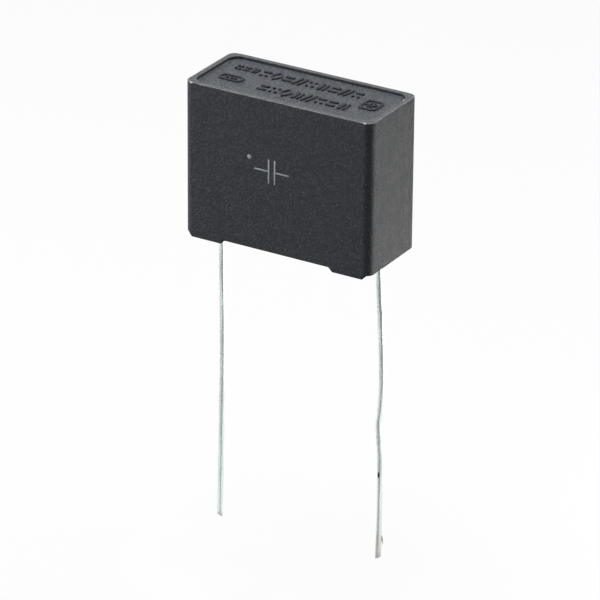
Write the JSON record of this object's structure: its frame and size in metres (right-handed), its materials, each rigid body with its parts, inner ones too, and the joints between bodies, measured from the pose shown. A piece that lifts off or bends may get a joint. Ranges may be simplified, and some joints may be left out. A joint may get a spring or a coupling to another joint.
{
  "type": "box film capacitor",
  "caption": "Potted film capacitor in a rectangular moulded case with small feet and long parallel wire leads, for through-hole mounting on a circuit board.",
  "frame": {"origin": "on the seating plane of the feet, midway between the axes of the two leads", "axes": "+X along the lead pitch, +Y towards the back, +Z away from the board; the leads point to -Z"},
  "size_m": [0.0176, 0.0074, 0.0409],
  "materials": {
    "case": "finely textured moulded plastic",
    "resin": "cast epoxy",
    "film": "metallised film",
    "wrap": "clear film",
    "spray": "grainy sprayed metal",
    "lead": "drawn tinned wire"
  },
  "bodies": {
    "root": {"case": "case", "resin_fill": "resin", "film_winding": "film", "wrap_film": "wrap", "end_spray_left": "spray", "end_spray_right": "spray", "lead_left": "lead", "lead_right": "lead"}
  },
  "joints": []
}
